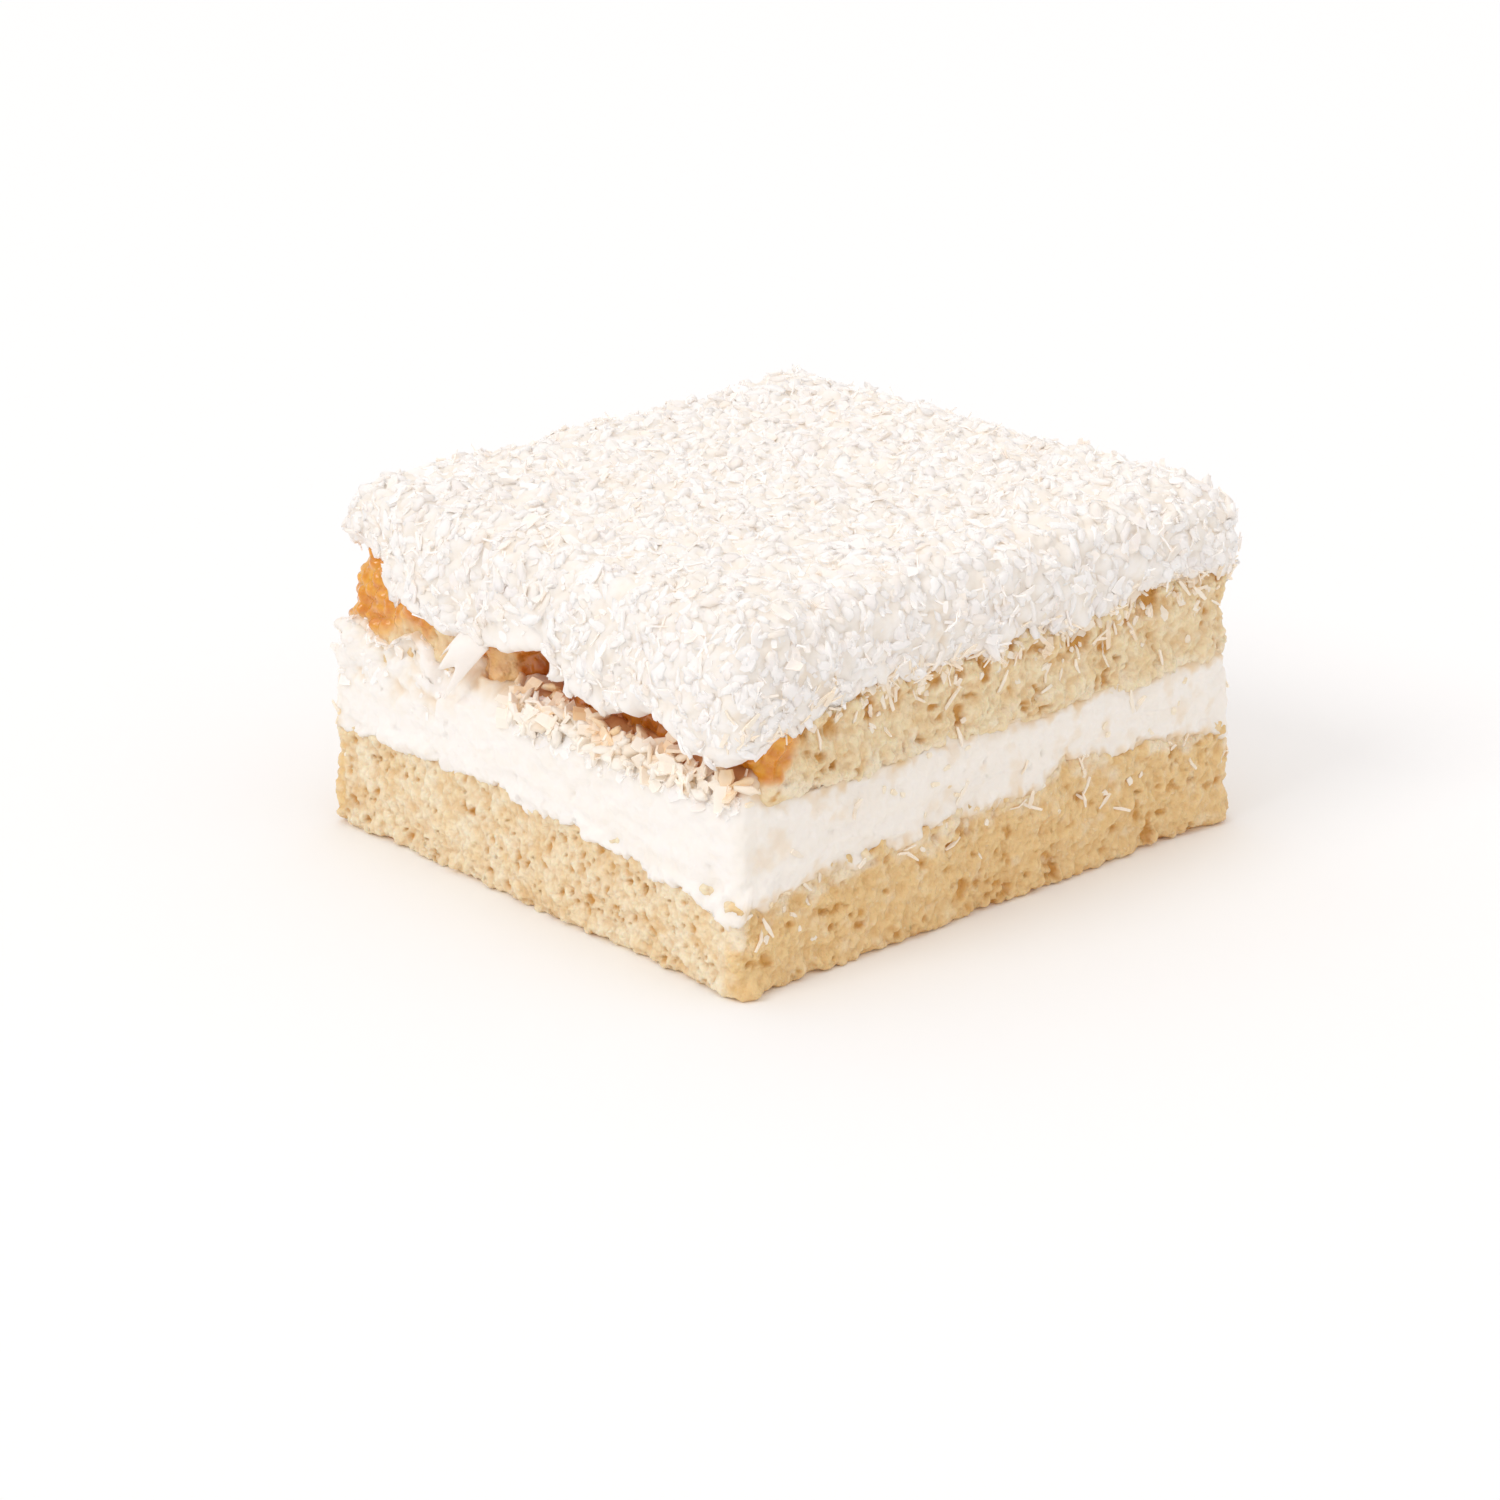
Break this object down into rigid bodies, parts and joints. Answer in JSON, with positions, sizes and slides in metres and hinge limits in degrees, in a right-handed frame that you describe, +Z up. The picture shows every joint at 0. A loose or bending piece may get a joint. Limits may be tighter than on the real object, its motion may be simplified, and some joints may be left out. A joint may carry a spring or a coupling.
{
  "type": "milk cake slice",
  "caption": "Rectangular slice of milk cake: soaked sponge layers with cream between and on top under desiccated coconut, standing on its flat sponge base.",
  "frame": {"origin": "middle of the flat base, on the surface that the slice stands on", "axes": "+Z up, +X along the longer side; the clean cut side faces -Y and the dragged side, with the ledge and the overhang, faces -X"},
  "size_m": [0.0813, 0.0746, 0.0446],
  "materials": {
    "sponge": "moist open crumb, matt with a slight wet sheen",
    "cream": "smeared whipped cream, soft satin",
    "browned_sponge": "moist open crumb under a browned, glossy crust",
    "coconut": "whipped cream under dry desiccated coconut, matt"
  },
  "bodies": {
    "root": {"sponge_base": "sponge", "cream_filling": "cream", "sponge_upper": "browned_sponge", "cream_topping": "coconut"}
  },
  "joints": []
}
